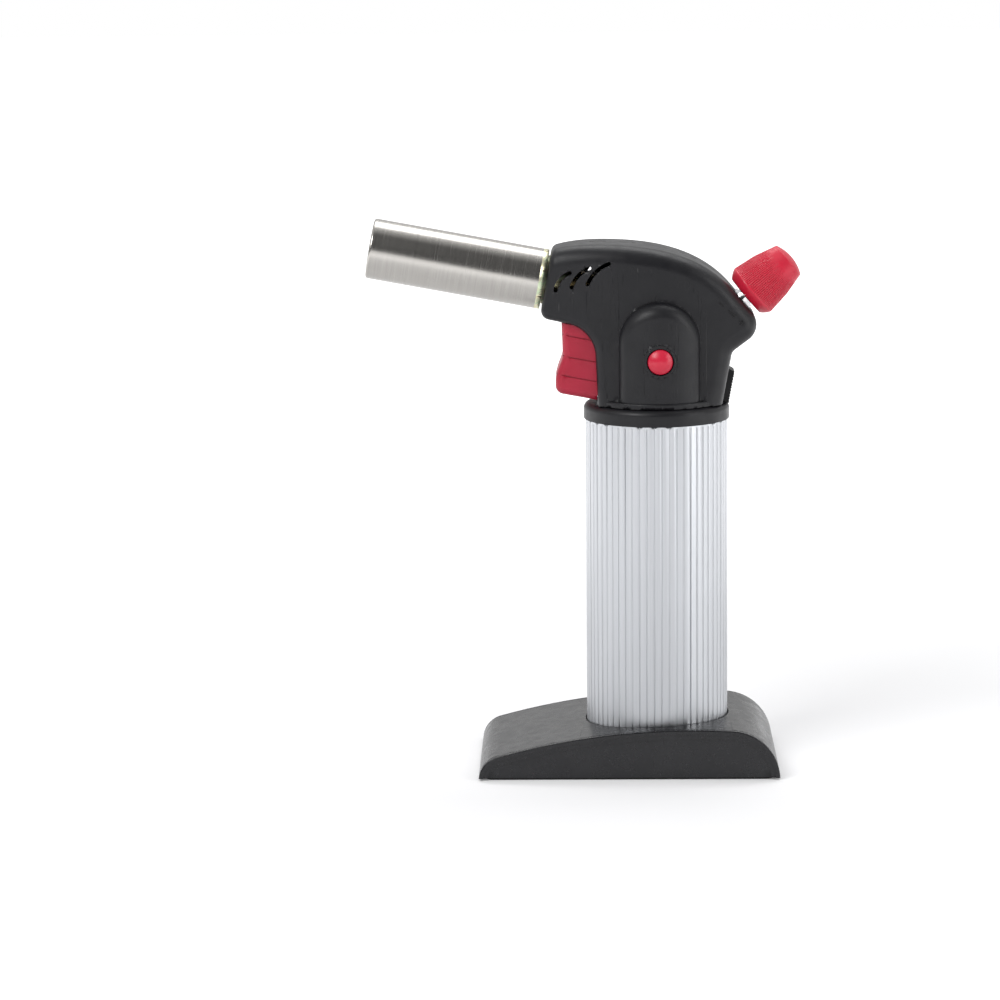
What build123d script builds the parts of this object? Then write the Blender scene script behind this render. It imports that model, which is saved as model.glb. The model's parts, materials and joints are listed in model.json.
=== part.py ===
from build123d import *
import os
from math import asin, cos, hypot, radians, sin, sqrt

os.makedirs("parts", exist_ok=True)

# Hand-held refillable butane torch, standing in its own bench stand.
# X runs from the flame end (-X) to the gas knob (+X), Z is up, and Y = 0 is the parting plane of the
# head.  The origin is on the tank's axis, on the surface that the stand rests on.
# The head is drawn in its own frame, whose height 0 (the deck) is its lower edge.

# ---- general ---------------------------------------------------------------------------------
FIT = 0.05            # radial clearance of a running fit
GAP = 0.3             # clearance between pieces that move past each other
TOUCH = 0.01          # how far a cutter passes a face that it opens
TILT = 10.6           # slope of the burner and of the trigger's travel

# ---- stand -----------------------------------------------------------------------------------
PAD_T = 0.8           # non-slip pad under the stand
PAD_INSET = 2.0       # how far the pad stays inside the stand's outline
STAND_W = 66.3        # width across the two side faces
STAND_WALL = 2.2
NOSE_X = -57.0        # centre of the low end's rounding
NOSE_R = 9.4
TAIL_X = 26.1         # centre of the high end's rounding
TAIL_R = 18.5
BACK_R = 266.0        # long arc over the top, tangent to both ends
SIDE_STEP = 0.5       # depth of each of the two steps round the side faces
SIDE_RIM = 1.7        # width of each step
EDGE_LINE_IN = 1.1    # decorative line on the top, measured in from the side face
EDGE_LINE_W = 0.4
EDGE_ROUND = 0.5
SOCKET_CLEAR = 0.5    # radial gap between the tank and its socket
SOCKET_WALL = 1.8
PLATE_T = 2.0
PLATE_CLEAR = 0.15
SCREW_X_LOW = -50.0
SCREW_Y_LOW = 20.0
SCREW_X_HIGH = 34.5
SCREW_Y_HIGH = 22.5
STAND_SCREW_L = 6.5

# ---- tank ------------------------------------------------------------------------------------
TANK_R = 26.3
TANK_WALL = 1.3
TANK_L = 127.5        # from its foot to the collar
TANK_FOOT_H = 5.0     # height of the recess that hides the fill valve
TANK_BOTTOM_T = 2.0
NECK_R = 24.6
NECK_L = 3.9
FLUTES = 60
FLUTE_W = 0.5
FLUTE_D = 0.35
FLUTE_START = 2.0     # plain band above the foot
CLOSURE_T = 5.0
SEAL_R = 0.8          # half the side of its square section
VALVE_X = 13.5        # the gas valve stands off the tank's axis
WICK_R = 2.0
WICK_L = 100.0
FILL_R = 4.0
FILL_FLANGE_R = 5.5
FILL_NOZZLE_R = 2.2
FILL_BORE_R = 1.0
FILL_INSIDE_L = 7.0

# ---- collar ----------------------------------------------------------------------------------
COLLAR_R = 26.9
COLLAR_H = 5.9
COLLAR_ROUND = 2.2
COLLAR_BORE_R = 20.2

# ---- head housing (heights are above the deck) -------------------------------------------------
DECK_GAP = 0.3        # shadow line between the collar and the head's flange
WALL = 2.2
HEAD_HALF = 17.6      # half width at the tank's axis
MOUTH_HALF = 12.8     # half width at the mouth
AXIS_RISE = 37.5      # height of the burner's axis where it crosses the tank's axis
MOUTH_S = 41.15       # distance along the burner's axis from there to the mouth
MOUTH_ABOVE = 12.1    # mouth's edge above the burner's axis
MOUTH_BELOW = 13.2
CROWN_X = -17.0
CROWN_H = 58.9
SHOULDER_X = 9.6
SHOULDER_H = 54.4
CROWN_START = 17.0    # slope of the crown at the mouth
KNOB_LEAN = 40.0      # the knob's axis above the horizontal
FACE_X = 31.6         # centre of the knob's face
FACE_H = 37.4
FACE_UP = 5.8
NECK_X = 27.6         # corner where the tail meets the rear wall
NECK_H = 19.1
TAIL_SLOPE = 35.8
FRONT_X = -21.6       # front wall at the deck
FRONT_LEAN = 2.6
TAIL_ROUND = 6.8
NECK_ROUND = 3.0
THROAT_ROUND = 12.5   # the hollow that the trigger sits in
CROWN_ROUND = 6.5
FRONT_ROUND = 3.0
CHIN_ROUND = 3.4      # lower corner of the mouth
INNER_BEVEL = 3.0     # the cavity's bevel under the rounded crown
FLANGE_R = 25.0
FLANGE_T = 2.0
SKIRT_R = 23.2
SKIRT_WALL = 2.4
BULGE_X = 0.9         # arched bulge over the lock button
BULGE_HALF = 14.9
BULGE_TOP = 38.5
BULGE_R = 24.3        # the bulge lies on a cylinder round the tank's axis
BULGE_ROUND = 5.5
SLOTS = 3
SLOT_W = 1.5
SLOT_X = -36.9
SLOT_H = 42.6
SLOT_PITCH = 5.85
SLOT_RUN = 5.2
SLOT_RUN_STEP = 1.3
SLOT_RISE = 6.4
SLOT_RISE_STEP = 0.55
SLOT_BOW = 1.1
BOSS_R = 2.9
SCREW_R = 1.3
SCREW_HEAD_R = 2.5
SCREW_HEAD_T = 1.6
HEAD_SCREW_L = 20.0
BOSSES = ((-14.0, 53.0), (11.5, 48.0), (-19.0, 32.6), (30.3, 25.6))

# ---- burner ----------------------------------------------------------------------------------
TUBE_R = 11.15
TUBE_WALL = 0.5
TUBE_L = 63.2
TUBE_CURL = 0.9       # rolled edge at the flame end
COLLET_GAP = 0.7      # between the mouth and the zinc-plated cap
COLLET_L = 2.0
COLLET_SPIGOT = 4.0
COLLET_TAIL_R = 9.0
COLLET_TAIL_L = 8.0
COLLET_TAIL_WALL = 1.0
MIXER_R = 5.2
MIXER_WALL = 1.0
MIXER_BACK = 15.0     # how far it reaches back past the mouth
AIR_HOLE_R = 1.8
AIR_HOLES = 4
FLAME_SETBACK = 8.0   # flame holder's face behind the tube's end
FLAME_T = 8.0
FLAME_HOLES = 12
FLAME_HOLE_R = 0.9
FLAME_HOLE_PCR = 8.2
JET_R = 4.1
JET_THREAD_R = 4.7
JET_THREAD_L = 8.0
JET_THREADS = 6
JET_NOSE_L = 3.0
JET_BORE_R = 0.5
GAS_TUBE_R = 1.2
GAS_TUBE_BORE_R = 0.7
ELECTRODE_OUT = 6.6   # from the burner's axis
ELECTRODE_R = 0.45
INSULATOR_R = 1.2

# ---- gas valve and knob ------------------------------------------------------------------------
VALVE_R = 5.4
VALVE_FLANGE_R = 6.0
VALVE_FLANGE_T = 2.5
VALVE_H = 26.0        # above the deck
SLEEVE_R = 3.4
SPINDLE_R = 1.5
SPINDLE_BACK = 19.0   # from the knob's face into the valve
SPINDLE_OUT = 14.0
NIPPLE_X = 10.8
NIPPLE_R = 1.9
NIPPLE_L = 3.0
TUBE_BEND = 6.0
GLAND_R = 4.3
GLAND_BACK = 1.8
GLAND_OUT = 1.1
WASHER_R = 3.4
WASHER_T = 0.4
KNOB_START = 1.8      # underside of the knob above the head's face
KNOB_BASE_R = 8.0
KNOB_R = 10.35
KNOB_SKIRT = 3.3
KNOB_L = 20.4         # from its underside to the edge of its top
KNOB_TOP_R = 6.9
KNOB_BARREL = 0.55    # how far its sides bow outwards
KNOB_CROWN = 1.6
KNOB_EDGE = 0.7
KNOB_GROOVES = 84
KNOB_GROOVE_W = 0.36
KNOB_GROOVE_D = 0.25
KNOB_GROOVE_IN = 0.4  # plain band between the widest line and the grooves
KNOB_GROOVE_L = 13.5

# ---- trigger and igniter (in a frame that slopes with the trigger's travel) ----------------------
TRIGGER_HALF = 11.3
TRIGGER_WALL = 1.8
TRIGGER_TOP_X = -34.9
TRIGGER_BEND_H = 18.3
TRIGGER_TOE_X = -37.2
TRIGGER_TOE_H = 8.0
TRIGGER_FOOT_H = 4.3  # its lower edge below the toe
TRIGGER_REAR_X = -15.0
TRIGGER_TRAVEL = 5.5
TRIGGER_ROUND = 3.2
GRIP_LINES = (26.0, 18.2, 11.0)
GRIP_LINE_W = 0.5
GRIP_LINE_D = 0.45
PUSH_X = -21.8        # origin of the sloping frame
PUSH_H = 13.5
IGNITER_UP = 6.0
IGNITER_H = 9.0
IGNITER_START = 8.0
IGNITER_L = 19.5
CRADLE_H = 2.7
PLUNGER_R = 3.2
PLUNGER_INSIDE = 3.0
ARM_UP = -0.8
ARM_H = 2.8
ARM_W = 3.0
STEM_START = 23.0
STEM_L = 11.0
STEM_R = 1.3
STEM_TRAVEL = 1.65
LOCK_ARM_Y = 7.2
LOCK_ARM_END = 19.5
LOCK_ARM_H = 6.5
LOCK_HOLE_R = 2.15

# ---- lock button ---------------------------------------------------------------------------------
BUTTON_X = 1.0
BUTTON_H = 17.4
BUTTON_R = 4.65
BUTTON_DOME = 1.9
BUTTON_PROUD = 0.3    # cylinder of the cap above the bulge
BUTTON_CAP_L = 3.4
BUTTON_TRAVEL = 2.2
BUTTON_SHAFT_R = 1.8
BUTTON_TIP_Y = 9.9
BEZEL_R = 6.0
BEZEL_PROUD = 0.7
GUIDE_R = 6.6
GUIDE_FLOOR_T = 2.0
CLIP_R = 3.4
CLIP_T = 0.6

# ---- safety slider -------------------------------------------------------------------------------
SLIDER_HALF = 5.2
SLIDER_LOW = 0.3      # lower end above the deck, measured along the rear wall
SLIDER_L = 12.0
SLIDER_PROUD = 2.6
SLIDER_HANG = 0.4     # its outer edge hangs over the collar's rounding
SLIDER_TRAVEL = 4.0
SLIDER_RIBS = 10
SLIDER_RIB_D = 0.5
CHANNEL_D = 1.0
CHANNEL_L = 18.8
TAB_HALF = 1.5
TAB_L = 4.5
TAB_UP = 3.5
CATCH_HALF = 4.0
CATCH_L = 8.0
CATCH_T = 1.2

# ---- derived places ------------------------------------------------------------------------------
TANK_Z = PAD_T + PLATE_T                       # the tank's foot stands on the stand's plate
NECK_Z = TANK_Z + TANK_L
NECK_TOP_Z = NECK_Z + NECK_L
COLLAR_TOP_Z = NECK_Z + COLLAR_H
DECK_Z = COLLAR_TOP_Z + DECK_GAP
SINT, COST = sin(radians(TILT)), cos(radians(TILT))
SINK, COSK = sin(radians(KNOB_LEAN)), cos(radians(KNOB_LEAN))
FORWARD = Vector(-COST, 0, SINT)               # towards the flame
ACROSS = Vector(SINT, 0, COST)                 # square to the burner, upwards
MOUTH = Vector(0, 0, AXIS_RISE) + FORWARD * MOUTH_S
KNOB_OUT = Vector(COSK, 0, SINK)
KNOB_DOWN = Vector(SINK, 0, -COSK)
FACE = Vector(FACE_X, 0, FACE_H)

BURNER = Plane(origin=MOUTH, x_dir=ACROSS, z_dir=FORWARD)
KNOB = Plane(origin=FACE, x_dir=-KNOB_DOWN, z_dir=KNOB_OUT)
PUSH = Plane(origin=(PUSH_X, 0, PUSH_H), x_dir=-FORWARD, z_dir=ACROSS)
REAR_FOOT_X = NECK_X - NECK_H * SINT / COST
ARM_END = STEM_START - TRIGGER_TRAVEL + STEM_TRAVEL - GAP   # meets the stem at full pull
REAR = Plane(origin=(REAR_FOOT_X, 0, 0), x_dir=(0, 1, 0), z_dir=-FORWARD)   # Y runs up the rear wall
BUTTON = Plane(origin=(BUTTON_X, 0, BUTTON_H), x_dir=(1, 0, 0), z_dir=(0, -1, 0))


# ---- helpers -------------------------------------------------------------------------------------
def upright(*lines):
    """Face in the XZ plane from edges drawn as (x, height)."""
    return make_face(Plane.XZ * (Curve() + list(lines)))


def turned(*points):
    """Solid of revolution about Z from (radius, height) corners."""
    return revolve(make_face(Plane.XZ * Polyline(*points, close=True)), Axis.Z)


def ring(outer, inner, low, high):
    return turned((inner, low), (outer, low), (outer, high), (inner, high))


def rod(radius, low, high):
    return Pos(0, 0, (low + high) / 2) * Cylinder(radius, high - low)


def block(x0, x1, half, z0, z1):
    """Box centred on Y = 0."""
    return Pos((x0 + x1) / 2, 0, (z0 + z1) / 2) * Box(x1 - x0, 2 * half, z1 - z0)


def slab(x0, x1, y0, y1, z0, z1):
    return Pos((x0 + x1) / 2, (y0 + y1) / 2, (z0 + z1) / 2) * Box(x1 - x0, abs(y1 - y0), z1 - z0)


def meet(p, d, q, e):
    """Crossing, in the XZ plane, of the line through p along d and the line through q along e."""
    cross = d.X * e.Z - d.Z * e.X
    t = ((q.X - p.X) * e.Z - (q.Z - p.Z) * e.X) / cross
    return p + d * t


def flat(v):
    return (v.X, v.Z)


def corner(face, v):
    return face.vertices().sort_by_distance(v)[0]


def rim_edge(shape, radius, height):
    """The circular edge of that radius round Z at that height."""
    circles = shape.edges().filter_by(GeomType.CIRCLE)
    return [e for e in circles if abs(e.radius - radius) < TOUCH and abs(e.center().Z - height) < TOUCH]


def dome(radius, base, rise):
    """Arc of a shallow cap round Z, from its edge to its top."""
    ball = (radius ** 2 + rise ** 2) / (2 * rise)
    half_way = asin(radius / ball) / 2
    centre = base + rise - ball
    return ThreePointArc(
        (radius, base), (ball * sin(half_way), centre + ball * cos(half_way)), (0, base + rise))


def on_deck(shape):
    return Pos(0, 0, DECK_Z) * shape


nodes = {}


def keep(name, shape):
    nodes[name] = shape


# ---- stand -------------------------------------------------------------------------------------
def stand_profile(inset, low):
    """Side view of the stand, moved in by inset and cut off at height low."""
    nose, tail, back = NOSE_R - inset, TAIL_R - inset, BACK_R - inset
    span = TAIL_X - NOSE_X
    far, near = BACK_R - NOSE_R, BACK_R - TAIL_R
    along = (far ** 2 - near ** 2 + span ** 2) / (2 * span)
    centre = Vector(NOSE_X + along, 0, -sqrt(far ** 2 - along ** 2))
    c1, c2 = Vector(NOSE_X, 0, 0), Vector(TAIL_X, 0, 0)
    join1 = centre + (c1 - centre).normalized() * back
    join2 = centre + (c2 - centre).normalized() * back
    top = Vector(centre.X, 0, centre.Z + back)
    start = (NOSE_X - sqrt(nose ** 2 - low ** 2), low)
    end = (TAIL_X + sqrt(tail ** 2 - low ** 2), low)
    slant = sqrt(0.5)
    return upright(
        ThreePointArc(start, (NOSE_X - nose * cos(0.7), nose * sin(0.7)), flat(join1)),
        ThreePointArc(flat(join1), flat(top), flat(join2)),
        ThreePointArc(flat(join2), (TAIL_X + tail * slant, tail * slant), end),
        Line(end, start),
    )


def stand_body(inset, half, low):
    return extrude(stand_profile(inset, low), half, both=True)


def stand_screw_places():
    for side in (-1, 1):
        yield Pos(SCREW_X_LOW, side * SCREW_Y_LOW, 0)
        yield Pos(SCREW_X_HIGH, side * SCREW_Y_HIGH, 0)


def stand_cover():
    half = STAND_W / 2
    outer = stand_body(0, half, PAD_T)
    top_edges = [e for e in outer.edges() if abs(abs(e.center().Y) - half) < TOUCH and e.center().Z > 2 * PAD_T]
    outer = fillet(top_edges, EDGE_ROUND)
    line_out = half - EDGE_LINE_IN
    band = stand_body(-1, line_out, 0) - stand_body(-2, line_out - EDGE_LINE_W, 0)
    outer -= band - stand_body(EDGE_LINE_W, half, 0)
    for step in (1, 2):
        window = stand_body(SIDE_RIM * step, half + 1, PAD_T / 2) - stand_body(-2, half - SIDE_STEP * step, 0)
        outer -= window
    inside_half = half - 2 * SIDE_STEP - STAND_WALL
    hollow = stand_body(STAND_WALL, inside_half, PAD_T / 2)
    socket_r = TANK_R + SOCKET_CLEAR
    socket = rod(socket_r + SOCKET_WALL, TANK_Z, 2 * TAIL_R)
    cover = outer - (hollow - socket)
    posts = Compound([p * rod(SCREW_HEAD_R + 0.8, TANK_Z, 2 * TAIL_R) for p in stand_screw_places()])
    cover += posts & stand_body(STAND_WALL / 2, inside_half + 1, PAD_T)
    cover -= rod(socket_r, -1, 2 * TAIL_R)
    for p in stand_screw_places():
        cover -= p * rod(SCREW_R, 0, PAD_T + STAND_SCREW_L)
    return cover


def stand_plate():
    half = STAND_W / 2 - 2 * SIDE_STEP - STAND_WALL - PLATE_CLEAR
    nose, tail = NOSE_R - STAND_WALL - PLATE_CLEAR, TAIL_R - STAND_WALL - PLATE_CLEAR
    x0 = NOSE_X - sqrt(nose ** 2 - TANK_Z ** 2)
    x1 = TAIL_X + sqrt(tail ** 2 - TANK_Z ** 2)
    plate = block(x0, x1, half, PAD_T, TANK_Z)
    plate = fillet(plate.edges().filter_by(Axis.Z), STAND_WALL)
    for p in stand_screw_places():
        plate -= p * rod(SCREW_R + FIT, 0, TANK_Z + 1)
        plate -= p * rod(SCREW_HEAD_R + FIT, 0, PAD_T + SCREW_HEAD_T / 2)
    return plate


def stand_pad():
    x0, x1 = NOSE_X - NOSE_R + PAD_INSET, TAIL_X + TAIL_R - PAD_INSET
    pad = block(x0, x1, STAND_W / 2 - PAD_INSET, 0, PAD_T)
    pad = fillet(pad.edges().filter_by(Axis.Z), 2 * PAD_INSET)
    for p in stand_screw_places():
        pad -= p * rod(SCREW_HEAD_R + GAP, -1, PAD_T + 1)
    return pad


def stand_screws():
    head = rod(SCREW_HEAD_R, PAD_T, PAD_T + SCREW_HEAD_T / 2)
    cross = Box(SCREW_HEAD_R, 0.6, 0.8) + Box(0.6, SCREW_HEAD_R, 0.8)
    screw = head + rod(SCREW_R, PAD_T, PAD_T + STAND_SCREW_L) - Pos(0, 0, PAD_T) * cross
    return Compound([p * screw for p in stand_screw_places()])


# ---- tank --------------------------------------------------------------------------------------
def tank_shell():
    inner, neck_in = TANK_R - TANK_WALL, NECK_R - TANK_WALL
    floor_z = TANK_Z + TANK_FOOT_H
    shell = turned(
        (FILL_R, floor_z), (inner, floor_z), (inner, TANK_Z), (TANK_R, TANK_Z), (TANK_R, NECK_Z),
        (NECK_R, NECK_Z), (NECK_R, NECK_TOP_Z), (neck_in, NECK_TOP_Z), (neck_in, NECK_Z - TANK_WALL),
        (inner, NECK_Z - TANK_WALL), (inner, floor_z + TANK_BOTTOM_T), (FILL_R, floor_z + TANK_BOTTOM_T),
    )
    low = TANK_Z + FLUTE_START
    cutter = slab(TANK_R - FLUTE_D, TANK_R + 1, -FLUTE_W / 2, FLUTE_W / 2, low, NECK_Z - FLUTE_START / 2)
    flutes = [Rot(0, 0, 360 / FLUTES * (i + 0.5)) * cutter for i in range(FLUTES)]
    return shell - flutes


def tank_closure():
    plug_r = NECK_R - TANK_WALL - FIT
    plug = rod(plug_r, NECK_TOP_Z - CLOSURE_T, NECK_TOP_Z)
    middle = NECK_TOP_Z - CLOSURE_T / 2
    groove = ring(plug_r + 1, plug_r - 2 * SEAL_R, middle - SEAL_R, middle + SEAL_R)
    return plug - groove - Pos(VALVE_X, 0, 0) * rod(STEM_R, 0, NECK_TOP_Z + 1)


def tank_seal():
    outer, middle = NECK_R - TANK_WALL, NECK_TOP_Z - CLOSURE_T / 2
    return ring(outer, outer - 2 * SEAL_R, middle - SEAL_R, middle + SEAL_R)


def wick():
    top = NECK_TOP_Z - CLOSURE_T
    return Pos(VALVE_X, 0, 0) * rod(WICK_R, top - WICK_L, top)


def fill_valve():
    floor_z = TANK_Z + TANK_FOOT_H
    top = floor_z + TANK_BOTTOM_T + FILL_INSIDE_L
    nozzle_z = TANK_Z + TANK_FOOT_H / 4
    return turned(
        (FILL_BORE_R, nozzle_z), (FILL_NOZZLE_R, nozzle_z), (FILL_NOZZLE_R, floor_z - 1),
        (FILL_FLANGE_R, floor_z - 1), (FILL_FLANGE_R, floor_z), (FILL_R, floor_z), (FILL_R, top),
        (FILL_BORE_R, top),
    )


def collar_ring():
    lip_z = NECK_TOP_Z
    collar = turned(
        (NECK_R, NECK_Z), (COLLAR_R, NECK_Z), (COLLAR_R, COLLAR_TOP_Z), (COLLAR_BORE_R, COLLAR_TOP_Z),
        (COLLAR_BORE_R, lip_z), (NECK_R, lip_z),
    )
    return fillet(rim_edge(collar, COLLAR_R, COLLAR_TOP_Z), COLLAR_ROUND)


# ---- head housing --------------------------------------------------------------------------------
def head_side(inset, low):
    """Side view of the head, with every line moved in by inset and its lower edge at height low."""
    mouth = MOUTH - FORWARD * inset
    front_dir = Vector(-sin(radians(FRONT_LEAN)), 0, cos(radians(FRONT_LEAN)))
    front = Vector(FRONT_X + inset, 0, 0)
    tail_dir = Vector(cos(radians(TAIL_SLOPE)), 0, sin(radians(TAIL_SLOPE)))
    tail = Vector(NECK_X, 0, NECK_H) + Vector(-tail_dir.Z, 0, tail_dir.X) * inset
    rear = Vector(NECK_X, 0, NECK_H) + FORWARD * inset
    floor = Vector(0, 0, low)
    level = Vector(1, 0, 0)
    nose = mouth - ACROSS * (MOUTH_BELOW - inset)
    face = FACE - KNOB_OUT * inset
    a = mouth + ACROSS * (MOUTH_ABOVE - inset)
    f = face - KNOB_DOWN * FACE_UP
    g = meet(face, KNOB_DOWN, tail, tail_dir)
    h = meet(tail, tail_dir, rear, ACROSS)
    i = meet(rear, ACROSS, floor, level)
    j = meet(front, front_dir, floor, level)
    k = meet(front, front_dir, nose, FORWARD)
    slope = radians(CROWN_START)
    shoulder = Vector(SHOULDER_X, 0, SHOULDER_H) - Vector(0.42, 0, 0.91) * inset
    crown = Spline(
        flat(a), (CROWN_X, CROWN_H - inset), flat(shoulder), flat(f),
        tangents=[(cos(slope), sin(slope)), flat(KNOB_DOWN)],
    )
    side = upright(crown, Polyline(*[flat(p) for p in (f, g, h, i, j, k, nose, a)]))
    side = fillet(corner(side, g), TAIL_ROUND - inset)
    side = fillet(corner(side, h), NECK_ROUND + inset)
    return fillet(corner(side, k), THROAT_ROUND + inset)


def head_plan(inset):
    """Top view of the head: two shallow arcs, widest at the tank's axis."""
    reach = -MOUTH.X
    half = HEAD_HALF - inset
    fall = HEAD_HALF - MOUTH_HALF
    bend = (reach ** 2 + fall ** 2) / (2 * fall)
    end = 1.3 * reach
    end_half = half - bend + sqrt(bend ** 2 - end ** 2)
    return make_face(Curve() + [
        ThreePointArc((-end, end_half), (0, half), (end, end_half)),
        Line((end, end_half), (end, -end_half)),
        ThreePointArc((end, -end_half), (0, -half), (-end, -end_half)),
        Line((-end, -end_half), (-end, end_half)),
    ])


def head_prism(side, inset, low):
    """The side view and the top view combined, with sharp edges, and the two long edges of its crown."""
    body = extrude(side, 2 * HEAD_HALF, both=True)
    body &= Pos(0, 0, low - 1) * extrude(head_plan(inset), 3 * AXIS_RISE)
    edges = [e for e in body.edges() if abs((e @ 0.5).Y) > MOUTH_HALF / 2]
    return body, [e for e in edges if (e @ 0.5).Z > SHOULDER_H - inset and (e @ 0.5).X > MOUTH.X / 2]


def head_outside():
    """The head without its bulge and flange, its long edges rounded."""
    side = head_side(0, 0)
    side = fillet(corner(side, MOUTH - ACROSS * MOUTH_BELOW), CHIN_ROUND)
    body, crown = head_prism(side, 0, 0)
    body = fillet(crown, CROWN_ROUND)
    edges = [e for e in body.edges() if abs((e @ 0.5).Y) > MOUTH_HALF / 2 and (e @ 0.5).Z > 1]
    front = [e for e in edges if (e @ 0.5).Z < NECK_H and (e @ 0.5).X < FRONT_X / 2]
    return body.fillet(FRONT_ROUND, front)


def head_inside(inset, low):
    body, crown = head_prism(head_side(inset, low), inset, low)
    return chamfer(crown, INNER_BEVEL)


def bulge(inset):
    """Arched bulge on both sides, its face on a cylinder round the tank's axis."""
    half, radius = BULGE_HALF - inset, BULGE_R - inset
    spring = BULGE_TOP - BULGE_HALF
    arch = upright(
        Line((BULGE_X - half, 0), (BULGE_X - half, spring)),
        ThreePointArc((BULGE_X - half, spring), (BULGE_X, spring + half), (BULGE_X + half, spring)),
        Line((BULGE_X + half, spring), (BULGE_X + half, 0)),
        Line((BULGE_X + half, 0), (BULGE_X - half, 0)),
    )
    return extrude(arch, 2 * radius, both=True) & rod(radius, 0, BULGE_TOP + 1)


def rounded_bulge():
    solid = bulge(0)
    middles = [(e, e @ 0.5) for e in solid.edges()]
    rim = [e for e, m in middles if abs(hypot(m.X, m.Y) - BULGE_R) < TOUCH and m.Z > 1]
    return fillet(rim, BULGE_ROUND)


def vent_slots():
    """Curved air slots through both sides, one after another up the slope behind the mouth."""
    slots = []
    for i in range(SLOTS):
        x, h = SLOT_X + SLOT_PITCH * i, SLOT_H + 1.2 * i
        start = (x, h)
        end = (x + SLOT_RUN + SLOT_RUN_STEP * i, h + SLOT_RISE + SLOT_RISE_STEP * i)
        outline = Plane.XZ * SlotArc(SagittaArc(start, end, SLOT_BOW), SLOT_W)
        slots.append(extrude(outline, 2 * HEAD_HALF, both=True) - block(-100, 100, HEAD_HALF / 2, 0, 100))
    return slots


def trigger_path():
    """Room that the trigger needs in the front wall and the flange."""
    top = MOUTH - ACROSS * MOUTH_BELOW
    reach = TRIGGER_REAR_X - TRIGGER_TOE_X
    half = TRIGGER_HALF + GAP
    foot = Vector(TRIGGER_TOE_X, 0, TRIGGER_FOOT_H - GAP)
    end_x = FRONT_X + TRIGGER_TRAVEL + GAP
    path = make_face(Plane.XZ * Polyline(
        flat(top + FORWARD), flat(top - FORWARD * reach), flat(foot - FORWARD * reach), flat(foot + FORWARD),
        close=True,
    ))
    front = block(TRIGGER_TOE_X - 1, FRONT_X + WALL + 1.5, half, 0, AXIS_RISE)
    notch = block(-FLANGE_R - 1, end_x, half, -DECK_GAP - 1, FLANGE_T + 1)
    throat = block(FRONT_X - THROAT_ROUND, end_x, half, FLANGE_T, AXIS_RISE)
    return (extrude(path, half, both=True) & (front + throat)) + notch


def button_guide():
    floor_y = BULGE_R - BUTTON_CAP_L - BUTTON_TRAVEL + BUTTON_PROUD
    back = floor_y - GUIDE_FLOOR_T
    return BUTTON * (rod(GUIDE_R, back, BULGE_R - 1) + rod(BEZEL_R, BULGE_R - 2, BULGE_R + BEZEL_PROUD))


def button_bore():
    floor_y = BULGE_R - BUTTON_CAP_L - BUTTON_TRAVEL + BUTTON_PROUD - GAP
    wide = rod(BUTTON_R + GAP, floor_y, BULGE_R + 5)
    return BUTTON * (wide + rod(BUTTON_SHAFT_R + GAP, 0, BULGE_R))


def cradle():
    """Ribs on both sides that hold the igniter."""
    low = IGNITER_UP - IGNITER_H / 2
    inner = IGNITER_H / 2 + FIT
    start = IGNITER_START + TRIGGER_TRAVEL
    rib = slab(start, IGNITER_START + IGNITER_L - 2, inner, BULGE_R, low, low + CRADLE_H)
    return PUSH * (rib + mirror(rib, Plane.XZ))


def slider_channel():
    channel = block(-SLIDER_HALF - GAP, SLIDER_HALF + GAP, CHANNEL_L / 2, -CHANNEL_D, 5)
    channel = Pos(0, CHANNEL_L / 2 - 1, 0) * channel
    window_l = TAB_L + SLIDER_TRAVEL + 2 * GAP
    window = Pos(0, SLIDER_LOW + TAB_UP - GAP + window_l / 2, 0) * Box(2 * (TAB_HALF + GAP), window_l, 20)
    return REAR * (channel + window)


def head_shell():
    outer = head_outside()
    flange = rod(FLANGE_R, 0, FLANGE_T)
    flange = fillet([e for e in flange.edges() if e.center().Z > TOUCH], FLANGE_T / 3)
    flange &= block(FRONT_X - 0.6, REAR_FOOT_X, FLANGE_R, 0, FLANGE_T)
    outer += rounded_bulge()
    outer += flange
    outer += rod(SKIRT_R, -DECK_GAP, FLANGE_T / 2)
    inner = head_inside(WALL, -DECK_GAP - 1)
    inner += bulge(WALL)
    inner += rod(SKIRT_R - SKIRT_WALL, -DECK_GAP - 1, FLANGE_T)
    shell = outer - inner
    shell += button_guide()
    shell += cradle() & inner
    posts = [Pos(x, 0, h) * Rot(90, 0, 0) * Cylinder(BOSS_R, 4 * HEAD_HALF) for x, h in BOSSES]
    shell += Compound(posts) & head_inside(WALL / 2, 0)
    shell -= vent_slots()
    shell -= trigger_path()
    shell -= button_bore()
    shell -= slider_channel()
    shell -= BURNER * rod(COLLET_TAIL_R + FIT, -2 * WALL, 2)
    shell -= KNOB * rod(GLAND_R + FIT, -2 * WALL, 2)
    return shell


def head_screw(x, h):
    """Place of one screw: its axis along Y, its head in the right half."""
    half_there = HEAD_HALF - (x ** 2) / (2 * 186)
    return Pos(x, 0, h) * Rot(-90, 0, 0), half_there - 2 * SCREW_HEAD_T


def halves():
    shell = head_shell()
    for x, h in BOSSES:
        place, seat = head_screw(x, h)
        shell -= place * rod(SCREW_HEAD_R + FIT, seat, 3 * HEAD_HALF)
        shell -= place * rod(SCREW_R, seat - HEAD_SCREW_L, seat + 1)
    room = 200
    left = shell & slab(-room, room, -room, 0, -room, room)
    right = shell & slab(-room, room, 0, room, -room, room)
    return left, right


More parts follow.
